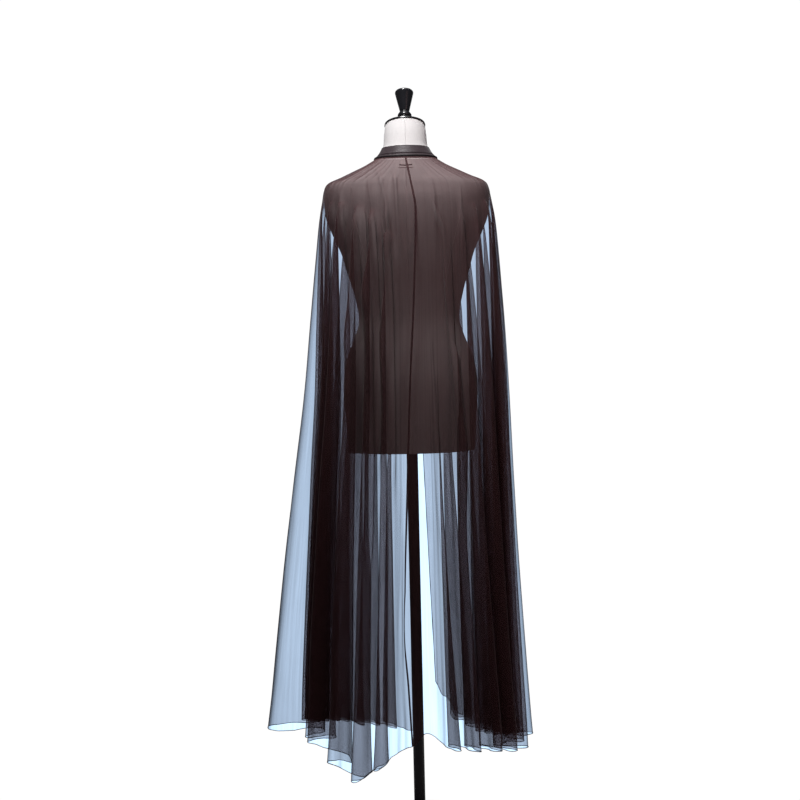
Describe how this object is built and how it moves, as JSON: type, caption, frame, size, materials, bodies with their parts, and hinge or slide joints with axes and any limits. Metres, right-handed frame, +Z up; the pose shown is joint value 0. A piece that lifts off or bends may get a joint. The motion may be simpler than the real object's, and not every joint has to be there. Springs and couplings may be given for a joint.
{
  "type": "cape on dress form stand",
  "caption": "Sheer full-length cape with a narrow stand collar, open down the front, hanging in deep folds from a limbless dress form on a pole and round base.",
  "frame": {"origin": "centre of the stand base's underside, on the pole's axis, at floor level", "axes": "+Z up along the pole; -Y is the garment's front and +Y its centre back; +X is the wearer's left"},
  "size_m": [0.6085, 0.4401, 1.7268],
  "materials": {
    "chiffon": "sheer dark brown crepe chiffon, soft sheen",
    "collar_cloth": "doubled opaque dark brown silk",
    "label_cloth": "blank woven tape",
    "form_cover": "off-white matt jersey",
    "black_lacquer": "black satin lacquer",
    "black_paint": "black satin powder coat"
  },
  "bodies": {
    "root": {"back_left_panel": "chiffon", "back_right_panel": "chiffon", "front_left_panel": "chiffon", "front_right_panel": "chiffon", "stand_collar": "collar_cloth", "collar_button": "collar_cloth", "hanger_loop": "collar_cloth", "neck_label": "label_cloth", "dress_form": "form_cover", "neck_cap": "black_lacquer", "finial": "black_lacquer", "stand_pole": "black_paint", "stand_base": "black_paint"}
  },
  "joints": []
}
